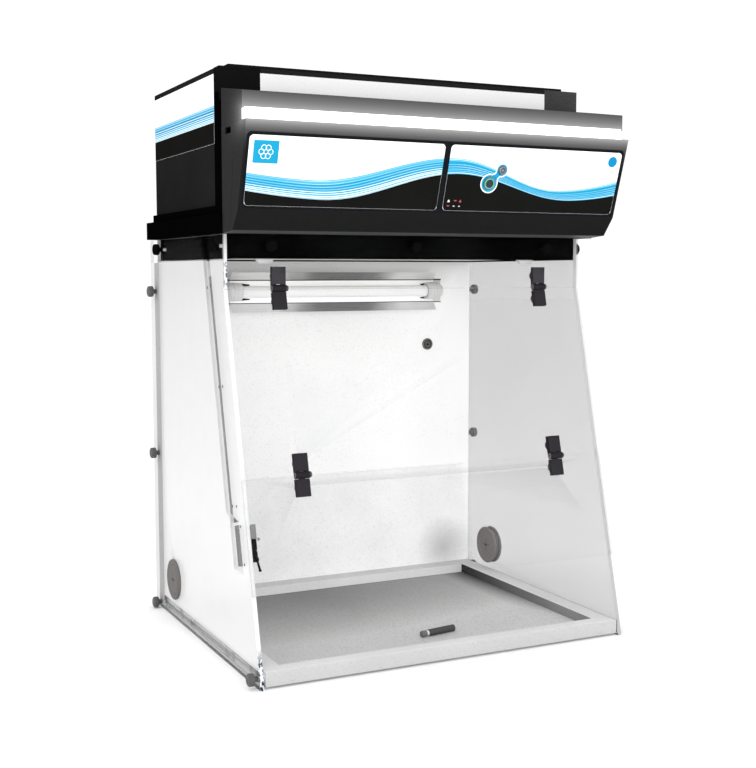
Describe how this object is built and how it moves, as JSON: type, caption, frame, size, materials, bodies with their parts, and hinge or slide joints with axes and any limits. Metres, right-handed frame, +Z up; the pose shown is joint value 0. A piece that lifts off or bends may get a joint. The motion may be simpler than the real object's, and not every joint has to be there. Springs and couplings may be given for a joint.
{
  "type": "fume hood",
  "caption": "Bench-top filtered fume hood: clear chamber on a shallow tray, folding front flaps, UV lamp and door switch, with a fan and filter head on top.",
  "frame": {"origin": "middle of the footprint, on the bench under the feet", "axes": "+Z up, +X to the right seen from the front, the front faces -Y"},
  "size_m": [0.84, 0.68, 1.145],
  "materials": {
    "tray_white": "moulded, fine grey speckle",
    "panel_white": "white powder coat, lightly speckled",
    "clear_acrylic": "clear sheet, polished edges",
    "black_metal": "black powder coat, fine grain",
    "fascia_black": "satin black, fine grain",
    "grey_metal": "grey satin coat",
    "white_coat": "light grey speckled coat",
    "light_diffuser": "white diffuser, lit",
    "print_foil": "printed white, blue and black foil",
    "hinge_plastic": "moulded charcoal plastic",
    "steel": "turned or brushed",
    "dark_screw": "blackened steel",
    "knob_plastic": "moulded dark plastic",
    "rubber_black": "matt rubber",
    "rubber_brown": "grey-brown rubber",
    "stick_plastic": "dark plastic",
    "lamp_white": "white moulded plastic",
    "reflector_metal": "bright folded sheet",
    "tube_glass": "frosted white tube",
    "conduit_grey": "grey extruded plastic",
    "switch_black": "black moulded plastic",
    "filter_media": "pleated filter paper in a card frame",
    "carbon_media": "carbon granules in a frame",
    "galvanised": "galvanised sheet",
    "motor_grey": "cast, grey paint",
    "wheel_grey": "moulded grey plastic",
    "pcb_green": "solder-masked board",
    "button_teal": "translucent teal cap",
    "button_metal": "polished metal"
  },
  "bodies": {
    "hood": {"base_tray": "tray_white", "tray_feet": "rubber_black", "tray_gaskets": "rubber_black", "tray_stick": "stick_plastic", "back_panel": "panel_white", "side_panel_left": "clear_acrylic", "side_panel_right": "clear_acrylic", "cable_plug_left": "rubber_brown", "cable_plug_right": "rubber_brown", "thumb_knobs": "knob_plastic", "knob_studs": "steel", "front_strip": "clear_acrylic", "top_hinge_fixed_leaves": "hinge_plastic", "top_hinge_pins": "steel", "strip_hinge_bolts": "dark_screw", "sampling_port": "rubber_brown", "lamp_base": "lamp_white", "lamp_reflector": "reflector_metal", "lamp_holders": "lamp_white", "uv_tube": "tube_glass", "conduit_cover": "conduit_grey", "conduit_screws": "dark_screw", "switch_cover_plate": "conduit_grey", "switch_bracket": "conduit_grey", "microswitch_body": "switch_black", "skirt_frame": "black_metal", "lower_flange": "black_metal", "upper_flange": "black_metal", "housing_shell": "black_metal", "side_foils": "print_foil", "front_top_panel": "white_coat", "corner_brackets": "black_metal", "top_cover": "black_metal", "exhaust_grille": "black_metal", "front_frame": "fascia_black", "fascia_body": "fascia_black", "fascia_top_bar": "grey_metal", "light_bar": "light_diffuser", "foil_left": "print_foil", "foil_right": "print_foil", "control_board": "pcb_green", "fan_deck": "galvanised", "fan_motor": "motor_grey", "motor_bridge": "galvanised", "carbon_filter": "carbon_media", "pre_filter": "filter_media", "filter_clips": "conduit_grey", "power_inlet": "switch_black"},
    "upper_flap": {"upper_flap": "clear_acrylic", "top_hinge_moving_leaves": "hinge_plastic", "mid_hinge_upper_leaves": "hinge_plastic", "mid_hinge_pins": "steel", "upper_flap_hinge_bolts": "dark_screw"},
    "lower_flap": {"lower_flap": "clear_acrylic", "mid_hinge_lower_leaves": "hinge_plastic", "lower_flap_hinge_bolts": "dark_screw"},
    "switch_lever": {"switch_lever": "switch_black"},
    "start_button": {"start_button": "button_teal"},
    "mode_button": {"mode_button": "button_metal"},
    "fan_wheel": {"fan_wheel": "wheel_grey"}
  },
  "joints": [
    {"name": "upper_flap_hinge", "type": "hinge", "parent": "hood", "child": "upper_flap", "pos_m": [0, -0.1734, 0.72364], "axis": [-1, 0, 0], "range_deg": [0, 105]},
    {"name": "lower_flap_hinge", "type": "hinge", "parent": "upper_flap", "child": "lower_flap", "pos_m": [0, -0.26026, 0.37524], "axis": [-1, 0, 0], "range_deg": [0, 100]},
    {"name": "switch_lever_pivot", "type": "hinge", "parent": "hood", "child": "switch_lever", "pos_m": [-0.3785, -0.26882, 0.22558], "axis": [1, 0, 0], "range_deg": [0, 12], "stiffness_Nm_per_rad": 0.05, "springref_deg": -5.73},
    {"name": "start_button_press", "type": "slide", "parent": "hood", "child": "start_button", "axis": [0, 0.9537, 0.3007], "range_m": [0, 0.002], "stiffness_N_per_m": 400, "springref_m": -0.001},
    {"name": "mode_button_press", "type": "slide", "parent": "hood", "child": "mode_button", "axis": [0, 0.9537, 0.3007], "range_m": [0, 0.0015], "stiffness_N_per_m": 400, "springref_m": -0.001},
    {"name": "fan_wheel_spin", "type": "hinge", "parent": "hood", "child": "fan_wheel", "pos_m": [0, 0.068, 0.959], "axis": [0, 0, 1], "continuous": true}
  ]
}
